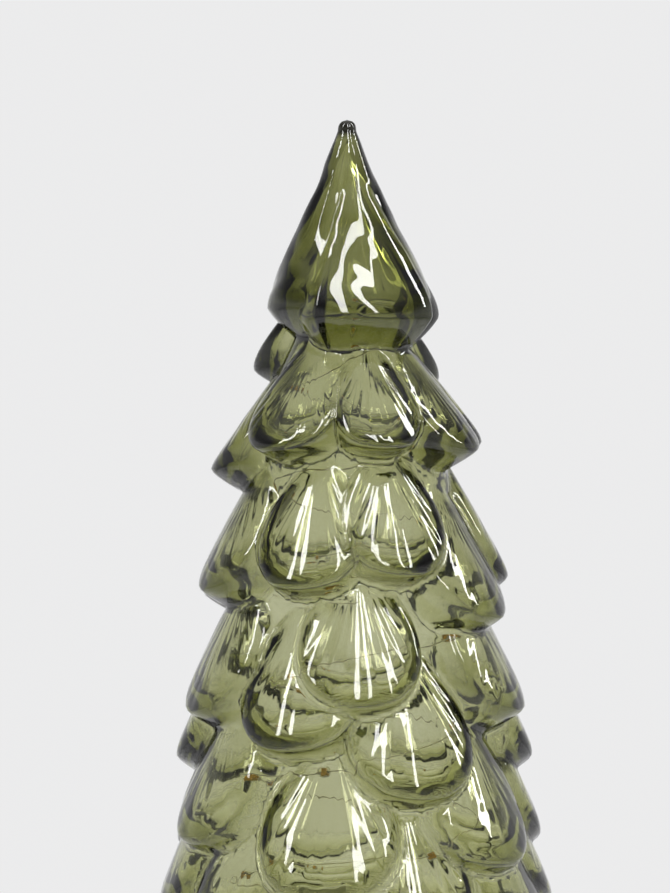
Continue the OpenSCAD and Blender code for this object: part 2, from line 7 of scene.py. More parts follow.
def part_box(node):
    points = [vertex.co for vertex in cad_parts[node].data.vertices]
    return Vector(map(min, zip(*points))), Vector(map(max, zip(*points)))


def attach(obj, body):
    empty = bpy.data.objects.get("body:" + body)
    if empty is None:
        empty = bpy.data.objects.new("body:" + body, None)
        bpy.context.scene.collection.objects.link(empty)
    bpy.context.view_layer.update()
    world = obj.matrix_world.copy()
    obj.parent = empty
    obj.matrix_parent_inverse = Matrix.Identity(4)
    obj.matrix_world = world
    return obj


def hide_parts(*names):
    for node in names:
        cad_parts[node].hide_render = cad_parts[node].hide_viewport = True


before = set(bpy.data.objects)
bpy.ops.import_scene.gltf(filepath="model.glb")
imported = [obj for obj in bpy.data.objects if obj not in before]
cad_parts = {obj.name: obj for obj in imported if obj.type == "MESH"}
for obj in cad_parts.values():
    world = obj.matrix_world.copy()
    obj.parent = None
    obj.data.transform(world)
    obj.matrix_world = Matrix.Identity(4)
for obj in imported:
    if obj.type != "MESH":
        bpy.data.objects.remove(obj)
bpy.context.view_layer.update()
scene = bpy.context.scene


# The camera stands level with the tree's upper half and looks straight at its front.
# The tip is near the top of the frame and the foot is cut off below, as in the photograph.
PHOTO_PIXELS = (670, 893)
PIXEL = 0.00026
TIP_PIXEL = (351, 120)
TREE_HEIGHT = 0.260
VIEW_DISTANCE = 1.2
SENSOR = 24
CAMERA_ROLL = math.radians(0.7)
camera_data = bpy.data.cameras.new("photo_camera")
camera_data.sensor_fit = "VERTICAL"
camera_data.sensor_height = SENSOR
camera_data.lens = SENSOR * VIEW_DISTANCE / (PHOTO_PIXELS[1] * PIXEL)
camera = bpy.data.objects.new("photo_camera", camera_data)
camera.location = (
    (PHOTO_PIXELS[0] / 2 - TIP_PIXEL[0]) * PIXEL,
    -VIEW_DISTANCE,
    TREE_HEIGHT - (PHOTO_PIXELS[1] / 2 - TIP_PIXEL[1]) * PIXEL)
camera.rotation_euler = (math.pi / 2, CAMERA_ROLL, 0)
scene.collection.objects.link(camera)
scene.camera = camera


# The studio is a pale room with even light and four tall, narrow softboxes round the tree.
# The camera and the glass see its wall, which is brightest level with the tree, dark above that,
# and white again straight overhead.
ROOM_GREY = (0.55, 0.55, 0.553, 1)
ROOM_WALL = ((0.30, 0.55), (0.44, 0.835), (0.60, 0.835), (0.78, 0.22))
ROOM_WALL_BLUE = 1.005
SOFTBOX_DISTANCE = 1.2
SOFTBOXES = (
    ("softbox_front", 10, 50, (0.15, 0.8), 6.2),
    ("softbox_right", 42, 48, (0.1, 0.8), 4.6),
    ("softbox_side", 96, 42, (0.12, 0.8), 6),
    ("softbox_left", -58, 48, (0.16, 0.7), 6))
scene.view_settings.view_transform = "Standard"


def preset(node, values):
    """Sets a node's inputs by name."""
    for label, value in values.items():
        node.inputs[label].default_value = value


def wired(tree, *pairs):
    """Joins pairs of sockets."""
    for start, end in pairs:
        tree.links.new(start, end)


world = bpy.data.worlds.new("studio")
scene.world = world
world.use_nodes = True
room = world.node_tree
room.nodes.clear()
room_out = room.nodes.new("ShaderNodeOutputWorld")
room_light = room.nodes.new("ShaderNodeBackground")
room_seen = room.nodes.new("ShaderNodeBackground")
room_pick = room.nodes.new("ShaderNodeMixShader")
ray = room.nodes.new("ShaderNodeLightPath")
place = room.nodes.new("ShaderNodeTexCoord")
split = room.nodes.new("ShaderNodeSeparateXYZ")
height = room.nodes.new("ShaderNodeMapRange")
shade = room.nodes.new("ShaderNodeValToRGB")
preset(room_light, {"Color": ROOM_GREY})
preset(height, {"From Min": -1, "From Max": 1})
shade.color_ramp.interpolation = "EASE"
for spot, grey in ROOM_WALL:
    stop = shade.color_ramp.elements.new(spot)
    stop.color = (grey, grey, grey * ROOM_WALL_BLUE, 1)
shade.color_ramp.elements.remove(shade.color_ramp.elements[0])
room_view = ray.outputs["Is Camera Ray"]
for kind in ("Is Glossy Ray", "Is Transmission Ray"):
    either = room.nodes.new("ShaderNodeMath")
    either.operation = "MAXIMUM"
    wired(room, (room_view, either.inputs[0]), (ray.outputs[kind], either.inputs[1]))
    room_view = either.outputs[0]
wired(
    room,
    (place.outputs["Generated"], split.inputs[0]),
    (split.outputs["Z"], height.inputs["Value"]),
    (height.outputs[0], shade.inputs[0]),
    (shade.outputs[0], room_seen.inputs["Color"]),
    (room_view, room_pick.inputs[0]),
    (room_light.outputs[0], room_pick.inputs[1]),
    (room_seen.outputs[0], room_pick.inputs[2]),
    (room_pick.outputs[0], room_out.inputs["Surface"]))
for name, azimuth, elevation, size, watts in SOFTBOXES:
    light = bpy.data.lights.new(name, "AREA")
    light.shape = "RECTANGLE"
    light.size, light.size_y = size
    light.energy = watts
    box = bpy.data.objects.new(name, light)
    a, e = math.radians(azimuth), math.radians(elevation)
    way = Vector((math.sin(a) * math.cos(e), -math.cos(a) * math.cos(e), math.sin(e)))
    box.location = Vector((0, 0, TREE_HEIGHT / 2)) + SOFTBOX_DISTANCE * way
    box.rotation_euler = (-way).to_track_quat("-Z", "Y").to_euler()
    scene.collection.objects.link(box)


# The floor is a round sheet of pale paper that the tree stands on.
# It fades into the room some way from the tree, so that its edge doesn't show.
FLOOR_RADIUS = 0.7
FLOOR_SIDES = 96
FLOOR_COLOUR = (0.78, 0.78, 0.785, 1)
FLOOR_FADE = {"From Min": 0.2, "From Max": 0.55, "To Min": 1, "To Max": 0}
floor_turns = [2 * math.pi * i / FLOOR_SIDES for i in range(FLOOR_SIDES)]
floor_mesh = bpy.data.meshes.new("floor")
floor_mesh.from_pydata(
    [(FLOOR_RADIUS * math.cos(a), FLOOR_RADIUS * math.sin(a), 0) for a in floor_turns],
    [], [list(range(FLOOR_SIDES))])
floor = bpy.data.objects.new("floor", floor_mesh)
scene.collection.objects.link(floor)
floor_look = bpy.data.materials.new("floor_paper")
floor_look.use_nodes = True
paper = floor_look.node_tree
paper_skin = paper.nodes["Principled BSDF"]
paper_place = paper.nodes.new("ShaderNodeTexCoord")
paper_far = paper.nodes.new("ShaderNodeVectorMath")
paper_far.operation = "LENGTH"
paper_fade = paper.nodes.new("ShaderNodeMapRange")
paper_fade.interpolation_type = "SMOOTHSTEP"
preset(paper_skin, {"Base Color": FLOOR_COLOUR, "Roughness": 0.8})
preset(paper_fade, FLOOR_FADE)
wired(
    paper,
    (paper_place.outputs["Object"], paper_far.inputs[0]),
    (paper_far.outputs["Value"], paper_fade.inputs["Value"]),
    (paper_fade.outputs[0], paper_skin.inputs["Alpha"]))
floor_mesh.materials.append(floor_look)


# The tree is one hollow piece of olive green glass, blown into a two-part mould.
# The mould gives it a pointed cap and rows of scalloped fans, whose fine ribs spread to the rim.
# Its sizes are in millimetres, and its turns in degrees from the front.
MM = 0.001
TREE_MM = 1000 * TREE_HEIGHT
WALL = 1.8
GLASS_BOTTOM = 5.1
FOOT_RADIUS = 45
FOOT_TOP = 23.5
SKIRT_RADIUS = 58
SKIRT_BEND = 0.4
RIM_REACH = 13
CAP_FLARE = 0.46
CAP_RIM = 0.806
TIP_RADIUS = 2.7
TIP_SOLID = 5.5
FAN_HALF_TURN = 25
FAN_STRETCH = 0.82
FAN_INSET = 0.3
LOBE_INSET = 0.5
# How a fan and a cap lobe flare out, how round their rims are, and whether they are ribbed.
FAN_EDGE = (1.05, 0.8, 1)
LOBE_EDGE = (1.0, 0.45, 0)
# Each cap lobe's turn, the height of its lowest point in percent of the tree's, and half its width.
CAP_LOBES = [
    (20, 80, 40), (-42, 81.2, 30), (-84, 83.2, 34), (94, 82, 34),
    (142, 80.2, 36), (-168, 80.6, 36), (-124, 82.6, 30)]
# Each fan's turn, the height of its lowest point in percent, and its width where it differs from the rest.
FANS = [
    (-130, 75), (142, 73.5),
    (-35, 67.3, 1.25), (15, 67.3), (62, 67, 1.1), (-96, 65.2), (110, 67.5), (158, 66.2), (-150, 67.2),
    (-70, 53.5), (-20, 53.7), (20, 54.9), (60, 50.4, 1.1), (104, 54), (150, 53), (-160, 54.5), (-116, 52.6),
    (-68, 41.5), (2, 42.1), (70, 41.2), (118, 42), (166, 41), (-146, 42.5),
    (-100, 36.5), (-22, 38.1), (22, 33.3), (104, 36), (150, 33.5), (-170, 37.5), (-132, 34),
    (-62, 29), (-10, 23.4), (51, 26.5), (106, 28), (146, 25), (-168, 24), (-118, 27),
    (-86, 22.5), (-40, 18.9), (18, 18.6), (64, 18.5), (98, 22), (140, 19), (-176, 18.6), (-132, 19.2),
    (-64, 13), (-12, 13.2), (40, 12.9), (88, 13), (136, 13), (-176, 13.2), (-124, 12.9),
    (-90, 7.4), (-38, 7.4), (12, 7.4), (60, 7.4), (110, 7.4), (160, 7.4), (-150, 7.4)]
# Each dent in the cap: its turn, height, width and depth.
CAP_DENTS = [
    (14, 244, 7, 0.9), (-34, 227, 8, 1.3), (6, 226, 9, 1.8), (36, 219, 6, 1.1), (-24, 245, 6, 0.8)]


def reach_radius(z):
    """How far out the rims stand at a height."""
    return min(
        TIP_RADIUS + CAP_FLARE * (TREE_MM - TIP_RADIUS - z),
        SKIRT_RADIUS * max(0, (TREE_MM - z) / TREE_MM) ** SKIRT_BEND)


def trunk_radius(z):
    """The plain body behind the fans at a height."""
    if z < FOOT_TOP:
        return FOOT_RADIUS
    share = min(1, ((TREE_MM - z) / (TREE_MM * (1 - CAP_RIM))) ** 2)
    return max(min(FOOT_RADIUS, reach_radius(z) - RIM_REACH * share), TIP_RADIUS)


def lobe_row(turn, percent, half_turn):
    """The place, form and edge of a cap lobe."""
    z = TREE_MM * percent / 100
    r = reach_radius(z)
    form = (r * math.radians(half_turn), TREE_MM - z - TIP_RADIUS, TIP_RADIUS - LOBE_INSET)
    return (turn - 90, z, r), form, LOBE_EDGE


def fan_row(turn, percent, width=1):
    """The place, form and edge of a fan."""
    z = TREE_MM * percent / 100
    r = reach_radius(z)
    length = FAN_STRETCH * r
    form = (r * math.radians(width * FAN_HALF_TURN), length, trunk_radius(z + length) - FAN_INSET)
    return (turn - 90, z, r), form, FAN_EDGE


fan_rows = [lobe_row(*lobe) for lobe in CAP_LOBES] + [fan_row(*fan) for fan in FANS]
mould_mesh = bpy.data.meshes.new("mould_fans")
mould_mesh.from_pydata([row[0] for row in fan_rows], [], [])
for column, name in enumerate(("fan_place", "fan_form", "fan_edge")):
    values = mould_mesh.attributes.new(name, "FLOAT_VECTOR", "POINT")
    for index, row in enumerate(fan_rows):
        values.data[index].vector = row[column]


class Gauge:
    """A number of a shaping rule, held as a node socket, so that plain sums build the tree."""

    def __init__(self, tree, socket):
        self.tree, self.socket = tree, socket

    def made(self, operation, *others):
        step = self.tree.nodes.new("ShaderNodeMath")
        step.operation = operation
        for spot, value in enumerate((self,) + others):
            if isinstance(value, Gauge):
                self.tree.links.new(value.socket, step.inputs[spot])
            else:
                step.inputs[spot].default_value = value
        return Gauge(self.tree, step.outputs[0])

    def __add__(self, other):
        return self.made("ADD", other)

    def __sub__(self, other):
        return self.made("SUBTRACT", other)

    def __mul__(self, other):
        return self.made("MULTIPLY", other)

    def __truediv__(self, other):
        return self.made("DIVIDE", other)

    def __pow__(self, other):
        return self.made("POWER", other)

    def __rsub__(self, other):
        return -self + other

    def __neg__(self):
        return self * -1

    def __abs__(self):
        return self.made("ABSOLUTE")

    def over(self, other):
        return self.made("GREATER_THAN", other)

    def most(self, other):
        return self.made("MINIMUM", other)

    def least(self, other):
        return self.made("MAXIMUM", other)

    def between(self, low, high):
        return self.least(low).most(high)


def node_tree(name, *sockets):
    """A new shaping tree with named inputs, and its two ends."""
    tree = bpy.data.node_groups.new(name, "GeometryNodeTree")
    for label, kind, value in sockets:
        socket = tree.interface.new_socket(label, in_out="INPUT", socket_type="NodeSocket" + kind)
        if value is not None:
            socket.default_value = value
    tree.interface.new_socket("Mesh", in_out="OUTPUT", socket_type="NodeSocketGeometry")
    return tree, tree.nodes.new("NodeGroupInput"), tree.nodes.new("NodeGroupOutput")


skin_tree, skin_in, skin_out = node_tree(
    "moulded_skin",
    ("Fans", "Geometry", None), ("Turns", "Int", 300), ("Rows", "Int", 200), ("Top", "Float", TREE_MM),
    ("Tip Round", "Float", TIP_RADIUS), ("Rim Softness", "Float", 1.3), ("Extra Softness", "Float", 0),
    ("Rim Growth", "Float", 0.5), ("Rim Slope", "Float", 3.2), ("Blend", "Float", 0.4),
    ("Rib Depth", "Float", 0.1), ("Wall", "Float", 0), ("Foot Widening", "Float", 100),
    ("Rim Row", "Float", 1), ("Unevenness", "Float", 0.8))
link = skin_tree.links.new
add = skin_tree.nodes.new


def skin_input(name):
    """One of the skin's named sizes."""
    return Gauge(skin_tree, skin_in.outputs[name])


def stored(mesh, name, gauge):
    """Keeps a number on every point of the skin."""
    keep = add("GeometryNodeStoreNamedAttribute")
    preset(keep, {"Name": name})
    link(mesh, keep.inputs["Geometry"])
    link(gauge.socket, keep.inputs["Value"])
    return keep.outputs[0]


def kept(name):
    """A number that was kept on the points."""
    read = add("GeometryNodeInputNamedAttribute")
    preset(read, {"Name": name})
    return Gauge(skin_tree, read.outputs[0])


# The skin starts as a plain tube, whose rows crowd towards the tip.
# The lowest row of the outer skin turns in to meet the inner one.
ROW_CROWDING = 1.15
tube = add("GeometryNodeMeshCylinder")
tube.fill_type = "NONE"
preset(tube, {"Radius": 1, "Depth": 1})
link(skin_in.outputs["Turns"], tube.inputs["Vertices"])
link(skin_in.outputs["Rows"], tube.inputs["Side Segments"])
spot = add("ShaderNodeSeparateXYZ")
link(add("GeometryNodeInputPosition").outputs[0], spot.inputs[0])
across, along, upright = [Gauge(skin_tree, socket) for socket in spot.outputs]
row_size = skin_input("Rim Row") / skin_input("Rows")
climb = ((upright + 0.5 - row_size) / (1 - row_size)).between(0, 1)
rise = (1 - (1 - climb) ** ROW_CROWDING) * (skin_input("Top") - GLASS_BOTTOM) + GLASS_BOTTOM
on_rim_row = (-(upright + 0.5 - row_size * 0.5)).over(0) * skin_input("Rim Row")
below_tip = TREE_MM - rise
reach = (below_tip - TIP_RADIUS) * CAP_FLARE + TIP_RADIUS
reach = reach.most(((below_tip / TREE_MM).least(0) ** SKIRT_BEND) * SKIRT_RADIUS)
cap_share = ((below_tip / (TREE_MM * (1 - CAP_RIM))) ** 2).most(1)
trunk = (reach - cap_share * RIM_REACH).most(FOOT_RADIUS).least(TIP_RADIUS)
in_foot = (-rise).over(-FOOT_TOP)
trunk = trunk + (FOOT_RADIUS - trunk) * in_foot
mesh = tube.outputs["Mesh"]
for name, gauge in (
        ("turn", along.made("ARCTAN2", across)), ("rise", rise), ("rim_row", on_rim_row), ("skin", trunk),
        ("rib_turn", trunk * 0), ("rib_share", trunk * 0)):
    mesh = stored(mesh, name, gauge)

# The lobes and fans are then laid on one by one, and each adds what stands out from the skin so far.
fan_count = add("GeometryNodeAttributeDomainSize")
fan_count.component = "MESH"
link(skin_in.outputs["Fans"], fan_count.inputs[0])
each = add("GeometryNodeRepeatInput")
done = add("GeometryNodeRepeatOutput")
each.pair_with_output(done)
link(fan_count.outputs["Point Count"], each.inputs["Iterations"])
link(mesh, each.inputs["Geometry"])


def fan_values(name):
    """Three values of the fan that is being laid on, from the mould's table."""
    pick = add("GeometryNodeSampleIndex")
    pick.data_type = "FLOAT_VECTOR"
    read = add("GeometryNodeInputNamedAttribute")
    read.data_type = "FLOAT_VECTOR"
    preset(read, {"Name": name})
    parts = add("ShaderNodeSeparateXYZ")
    wired(
        skin_tree,
        (skin_in.outputs["Fans"], pick.inputs["Geometry"]), (read.outputs[0], pick.inputs["Value"]),
        (each.outputs["Iteration"], pick.inputs["Index"]), (pick.outputs[0], parts.inputs[0]))
    return [Gauge(skin_tree, socket) for socket in parts.outputs]


fan_turn, fan_z, fan_r = fan_values("fan_place")
half_width, length, root = fan_values("fan_form")
flare, roundness, ribbed = fan_values("fan_edge")


def by_kind(lobe, fan):
    """One value for the cap's smooth lobes and another for the ribbed fans."""
    return ribbed * (fan - lobe) + lobe


# A fan's outline is an egg: a round rim, a smaller round root, and straight sides between them.
FAN_ROOT = 0.5
LOBE_ROOT = 0.8
EDGE_SLACK = 0.000001
turn, z, skin = kept("turn"), kept("rise"), kept("skin")
fan_angle = fan_turn * math.radians(1)
sideways = (turn - fan_angle).made("WRAP", math.pi, -math.pi) * fan_r
above = z - fan_z
root_width = half_width * by_kind(LOBE_ROOT, FAN_ROOT)
level = above / roundness - half_width
tall = length / roundness - half_width - root_width
lean = ((half_width - root_width) / tall).most(1)
slant = (1 - lean * lean) ** 0.5
side = slant * level - lean * abs(sideways)
wide = sideways * sideways
at_rim = (wide + level * level) ** 0.5 - half_width
at_root = (wide + (level - tall) * (level - tall)) ** 0.5 - root_width
at_side = slant * abs(sideways) + lean * level - half_width
in_rim = (-side).over(-EDGE_SLACK)
in_root = side.over(slant * tall + 10 * EDGE_SLACK)
outside = at_side + (at_rim - at_side) * in_rim + (at_root - at_side) * in_root

# Its rim is rounded over. Rims at the tree's sides are softer, and the inner wall's are softest at their
# lowest point, which makes the glass thick there.
LOBE_SOFTNESS, FAN_SOFTNESS, SIDE_SOFTNESS = 3.2, 1, 0.8
LOBE_THICKNESS, FAN_THICKNESS = 1.6, 1
LOW_THICKNESS, RIM_THICKNESS = 1.2, 0.6
LOBE_CROWN, FAN_CROWN = 1, 0.8
LOBE_FLATNESS, FLAT_MOST = 0.36, 0.5
LOBE_SLOPE, FAN_SLOPE, SIDE_SLOPE = 0.21, 0.5, 0.45
LOBE_BLEND, FAN_BLEND = 2, 1
sideways_on = fan_angle.made("COSINE") ** 2
softer = by_kind(LOBE_SOFTNESS, sideways_on * SIDE_SOFTNESS + FAN_SOFTNESS)
low = (-(level / half_width)).between(0, 1) ** 2
thicker = by_kind(LOBE_THICKNESS, FAN_THICKNESS) * (low * LOW_THICKNESS + RIM_THICKNESS)
softness = skin_input("Rim Softness") * softer + skin_input("Extra Softness") * thicker
outside = outside * roundness - skin_input("Rim Growth") * softer
share = (1 - above / length).between(0, 1)
crown = sideways / half_width
bend = sideways / fan_r
fan = root + (fan_r - root) * share ** flare - crown * crown * by_kind(LOBE_CROWN, FAN_CROWN)
fan = fan * ((bend * bend).most(FLAT_MOST) * by_kind(LOBE_FLATNESS, 0) + 1)
rim_slope = skin_input("Rim Slope") * by_kind(LOBE_SLOPE, FAN_SLOPE)
rim_slope = rim_slope * (1 - sideways_on * ribbed * SIDE_SLOPE)
fan = fan - (outside + (outside * outside + softness * softness) ** 0.5) * rim_slope

# Its ribs spread from the root and fade out at the rim and where fans meet.
RELIEF_RIBS = 32
RELIEF_SHARPNESS = 2.5
RIM_FADE = 0.25
SEAM_FADE = 0.6
RIB_MIDDLE, RIB_MOST = 0.2, 0.55
FAN_OVERHANG = 20
FAR_INSIDE = 1000
spread = sideways.made("ARCTAN2", (length - above).least(1))
rib = ((spread * RELIEF_RIBS).made("COSINE") * 0.5 + 0.5) ** RELIEF_SHARPNESS
rib_share = share * (outside * -RIM_FADE).between(0, 1) * ribbed
fan = fan - rib * rib_share * skin_input("Rib Depth")
near = above.over(-FAN_OVERHANG) * (length - above).over(0)
fan = fan + (near - 1) * FAR_INSIDE
ahead = fan.over(skin)
seam = (abs(fan - skin) * SEAM_FADE).most(1)
rib_held = rib_share * (crown * crown + RIB_MIDDLE).most(RIB_MOST)
skin = fan.made("SMOOTH_MAX", skin, skin_input("Blend") * by_kind(LOBE_BLEND, FAN_BLEND))
mesh = each.outputs["Geometry"]
for name, gauge, fade in (("rib_turn", spread, 1), ("rib_share", rib_held, seam)):
    mesh = stored(mesh, name, (kept(name) + (gauge - kept(name)) * ahead) * fade)
link(stored(mesh, "skin", skin), done.inputs["Geometry"])

# The finished skin gets the cap's dents and the slow waves of blown glass. The wall is thicker higher up.
# The waves and the wall grow from a height, at a rate, up to a most.
DENT_STRETCH = 1.6
WAVES = {"Scale": 0.9, "Detail": 1.5}
WAVE_SCALE = 0.07
CAP_WAVES = (195, 0.1, 2.4)
UPPER_WALL = (140, 0.012, 0.6)
CAP_WALL = (209, 0.1, 0.8)
BORE = 0.4
turn, z, skin = kept("turn"), kept("rise"), kept("skin")


def point_at(radius, scale):
    """Where a point of the skin is at a radius, as a vector."""
    point = add("ShaderNodeCombineXYZ")
    for socket, value in enumerate((turn.made("COSINE") * radius, turn.made("SINE") * radius, z)):
        link((value * scale).socket, point.inputs[socket])
    return point.outputs[0]


def growing(start, rate, most, least=0):
    """A share that grows with height."""
    return ((z - start) * rate).between(least, most)


for dent_turn, dent_z, dent_width, dent_depth in CAP_DENTS:
    beside = (turn - math.radians(dent_turn - 90)).made("WRAP", math.pi, -math.pi) * skin / dent_width
    apart = (z - dent_z) / (dent_width * DENT_STRETCH)
    skin = skin - (-(beside * beside + apart * apart)).made("EXPONENT") * dent_depth
waves = add("ShaderNodeTexNoise")
preset(waves, WAVES)
link(point_at(skin, WAVE_SCALE), waves.inputs["Vector"])
wave = (Gauge(skin_tree, waves.outputs[0]) - 0.5) * skin_input("Unevenness")
skin = skin + wave * z.over(FOOT_TOP) * growing(*CAP_WAVES, least=1)
foot_limit = (z - FOOT_TOP).least(0) * skin_input("Foot Widening") + FOOT_RADIUS
wall = skin_input("Wall") * (growing(*UPPER_WALL) + growing(*CAP_WALL) + 1)
skin = (skin.most(foot_limit) - wall).least(BORE)
tip_start = skin_input("Top") - skin_input("Tip Round")
tip_share = ((z - tip_start) / skin_input("Tip Round")).between(0, 1)
skin = skin * (1 - tip_share * tip_share) ** 0.5
skin = skin + (FOOT_RADIUS - WALL - skin) * kept("rim_row")
shaped = add("GeometryNodeSetPosition")
link(done.outputs["Geometry"], shaped.inputs["Geometry"])
link(point_at(skin, MM), shaped.inputs["Position"])
plain = shaped.outputs[0]
for name in ("turn", "rise", "skin", "rim_row"):
    drop = add("GeometryNodeRemoveAttribute")
    preset(drop, {"Name": name})
    link(plain, drop.inputs["Geometry"])
    plain = drop.outputs[0]
link(plain, skin_out.inputs["Mesh"])

# The glass is coloured right through, so thick places are darker. Its solid tip also gets a painted shade:
# its surface colour is painted nearly black.
# The finest ribs, which come and go along each fan, are in the surface finish.
GLASS_TINT = {"Color": (0.45, 0.47, 0.04, 1), "Density": 318}
# Painted shade: the nearly black surface colour of the solid tip.
PAINTED_TIP_SHADE = (0.03, 0.03, 0.02, 1)
PAINTED_TIP_SHADE_ENDS = (5.5, 3.5)
FINE_RIBS = 44
FINE_SHARPNESS = 1.5
FINE_DEPTH = 0.24
FINE_FADE = {"Scale": 75, "Detail": 1}
FINE_FADE_FROM, FINE_FADE_RATE, FINE_FADE_ENDS = 0.3, 3.5, (0.1, 1.2)
glass_look = bpy.data.materials.new("olive_glass")
glass_look.use_nodes = True
glass = glass_look.node_tree
glass_skin = glass.nodes["Principled BSDF"]
glass_place = glass.nodes.new("ShaderNodeTexCoord")
glass_height = glass.nodes.new("ShaderNodeSeparateXYZ")
glass_tip = glass.nodes.new("ShaderNodeMapRange")
glass_painted_shade = glass.nodes.new("ShaderNodeMix")
glass_painted_shade.data_type = "RGBA"
fine_fade = glass.nodes.new("ShaderNodeTexNoise")
fine_bump = glass.nodes.new("ShaderNodeBump")
glass_tint = glass.nodes.new("ShaderNodeVolumeAbsorption")
preset(glass_skin, {"Base Color": (1, 1, 1, 1), "Transmission Weight": 1, "Roughness": 0.01, "IOR": 1.5})
# The tip's painted shade fades in between these depths below the top.
for label, depth in zip(("From Min", "From Max"), PAINTED_TIP_SHADE_ENDS):
    preset(glass_tip, {label: TREE_HEIGHT - depth * MM})
preset(glass_painted_shade, {"A": (1, 1, 1, 1), "B": PAINTED_TIP_SHADE})
preset(fine_fade, FINE_FADE)
preset(fine_bump, {"Strength": 1, "Distance": FINE_DEPTH * MM})
preset(glass_tint, GLASS_TINT)


def rib_value(name):
    """A number that the skin keeps for its ribs."""
    read = glass.nodes.new("ShaderNodeAttribute")
    read.attribute_name = name
    return Gauge(glass, read.outputs["Fac"])


fine_wave = ((rib_value("rib_turn") * FINE_RIBS).made("COSINE") * 0.5 + 0.5) ** FINE_SHARPNESS
fine_kept = (Gauge(glass, fine_fade.outputs[0]) - FINE_FADE_FROM) * FINE_FADE_RATE
fine_kept = fine_kept.between(*FINE_FADE_ENDS)
fine_rib = fine_wave * rib_value("rib_share") * fine_kept
wired(
    glass,
    (glass_place.outputs["Object"], glass_height.inputs[0]),
    (glass_height.outputs["Z"], glass_tip.inputs["Value"]),
    (glass_tip.outputs[0], glass_painted_shade.inputs[0]),
    (glass_painted_shade.outputs["Result"], glass_skin.inputs["Base Color"]),
    (glass_place.outputs["Object"], fine_fade.inputs["Vector"]),
    ((-fine_rib).socket, fine_bump.inputs["Height"]),
    (fine_bump.outputs[0], glass_skin.inputs["Normal"]),
    (glass_tint.outputs[0], glass.nodes["Material Output"].inputs["Volume"]))

# The outer and the inner skin are made by the same rule and joined at the foot. The inner one is smoother.
OUTER_SKIN = {"Rows": 245}
INNER_SKIN = {
    "Rows": 80, "Top": TREE_MM - TIP_SOLID, "Tip Round": 3, "Extra Softness": 1.5, "Rim Growth": -0.25,
    "Blend": 2.5, "Rib Depth": 0, "Foot Widening": 0.9, "Rim Row": 0, "Unevenness": 1.6}
JOIN_DISTANCE = 0.01
tree_group, tree_in, tree_out = node_tree(
    "blown_tree", ("Fans", "Geometry", None), ("Wall", "Float", WALL), ("Glass", "Material", None))
both = tree_group.nodes.new("GeometryNodeJoinGeometry")
for settings in (OUTER_SKIN, INNER_SKIN):
    wall_skin = tree_group.nodes.new("GeometryNodeGroup")
    wall_skin.node_tree = skin_tree
    tree_group.links.new(tree_in.outputs["Fans"], wall_skin.inputs["Fans"])
    preset(wall_skin, settings)
    result = wall_skin.outputs["Mesh"]
    if settings is INNER_SKIN:
        tree_group.links.new(tree_in.outputs["Wall"], wall_skin.inputs["Wall"])
        turned = tree_group.nodes.new("GeometryNodeFlipFaces")
        tree_group.links.new(result, turned.inputs[0])
        result = turned.outputs[0]
    tree_group.links.new(result, both.inputs[0])


def chained(tree, mesh, *kinds):
    """Sends a mesh through nodes in turn, and gives the last node."""
    for kind in kinds:
        step = tree.nodes.new("GeometryNode" + kind)
        tree.links.new(mesh, step.inputs["Geometry"])
        mesh = step.outputs[0]
    return step


closed = chained(tree_group, both.outputs[0], "MergeByDistance")
preset(closed, {"Distance": JOIN_DISTANCE * MM})
coloured = chained(tree_group, closed.outputs[0], "SetShadeSmooth", "RealizeInstances", "SetMaterial")
wired(
    tree_group,
    (tree_in.outputs["Glass"], coloured.inputs["Material"]), (coloured.outputs[0], tree_out.inputs["Mesh"]))


def grown(name, start_mesh, tree, **values):
    """The plain mesh that a node tree makes from a start mesh, as a new object at the origin."""
    source = bpy.data.objects.new(name + "_source", start_mesh)
    scene.collection.objects.link(source)
    modifier = source.modifiers.new("shape", "NODES")
    modifier.node_group = tree
    for item in tree.interface.items_tree:
        if item.item_type == "SOCKET" and item.in_out == "INPUT" and item.name in values:
            modifier[item.identifier] = values[item.name]
    source.update_tag()
    depsgraph = bpy.context.evaluated_depsgraph_get()
    mesh = bpy.data.meshes.new_from_object(source.evaluated_get(depsgraph))
    bpy.data.objects.remove(source)
    mesh.name = name
    piece = bpy.data.objects.new(name, mesh)
    scene.collection.objects.link(piece)
    return piece


tree_glass = grown("tree_glass", mould_mesh, tree_group, Glass=glass_look)
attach(tree_glass, "tree")
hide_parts("glass_tree")


